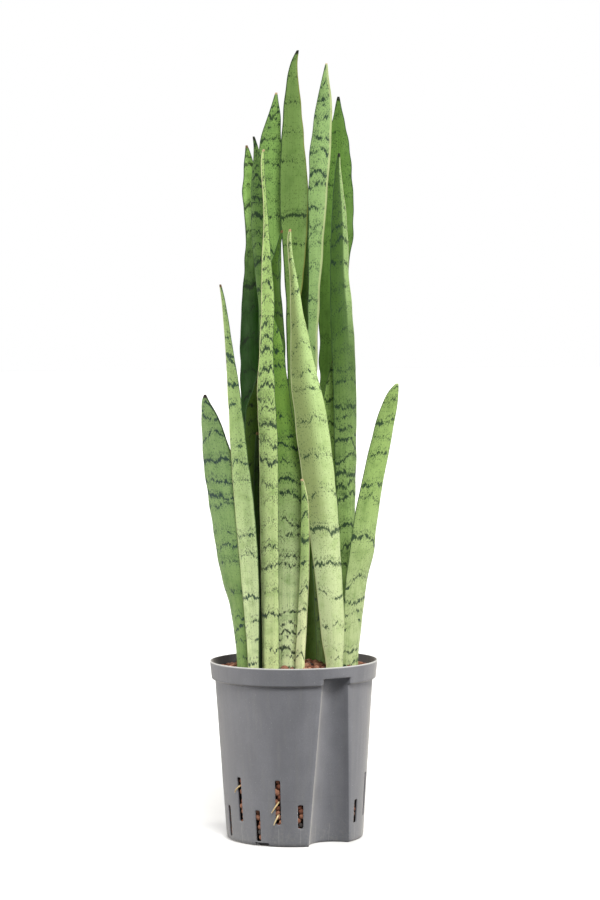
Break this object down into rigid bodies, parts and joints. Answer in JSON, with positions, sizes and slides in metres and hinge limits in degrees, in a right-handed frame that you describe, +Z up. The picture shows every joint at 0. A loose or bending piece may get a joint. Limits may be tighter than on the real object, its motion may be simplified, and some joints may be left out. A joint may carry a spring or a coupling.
{
  "type": "potted snake plant",
  "caption": "Snake plant with upright banded leaves standing in expanded clay in a grey slotted hydroculture pot with a gauge channel.",
  "frame": {"origin": "centre of the pot's foot plane, on the flat pad in the middle of its underside", "axes": "+Z up along the pot's axis; -Y is the front, where most of the leaves stand; +X is to the right seen from the front"},
  "size_m": [0.2082, 0.18, 0.844],
  "materials": {
    "pot_plastic": "matte",
    "clay": "matte",
    "leaf": "satin",
    "rhizome": "matte",
    "root": "matte"
  },
  "bodies": {
    "root": {"culture_pot": "pot_plastic", "clay_pellets": "clay", "rhizome_front": "rhizome", "rhizome_middle": "rhizome", "rhizome_right": "rhizome", "leaf_left_short": "leaf", "leaf_front_left": "leaf", "leaf_front_long": "leaf", "leaf_banded": "leaf", "leaf_back_left": "leaf", "leaf_back_broad": "leaf", "leaf_dark_middle": "leaf", "leaf_tallest": "leaf", "leaf_back_tall": "leaf", "leaf_front_wide": "leaf", "leaf_back_wavy": "leaf", "leaf_right_folded": "leaf", "leaf_right_hidden": "leaf", "leaf_front_middle": "leaf", "leaf_shaded": "leaf", "leaf_shaded_small": "leaf", "leaf_front_small": "leaf", "leaf_right_leaning": "leaf", "leaf_far_back": "leaf", "root_tip_left": "root", "root_tip_upper": "root", "root_tip_lower": "root"}
  },
  "joints": []
}
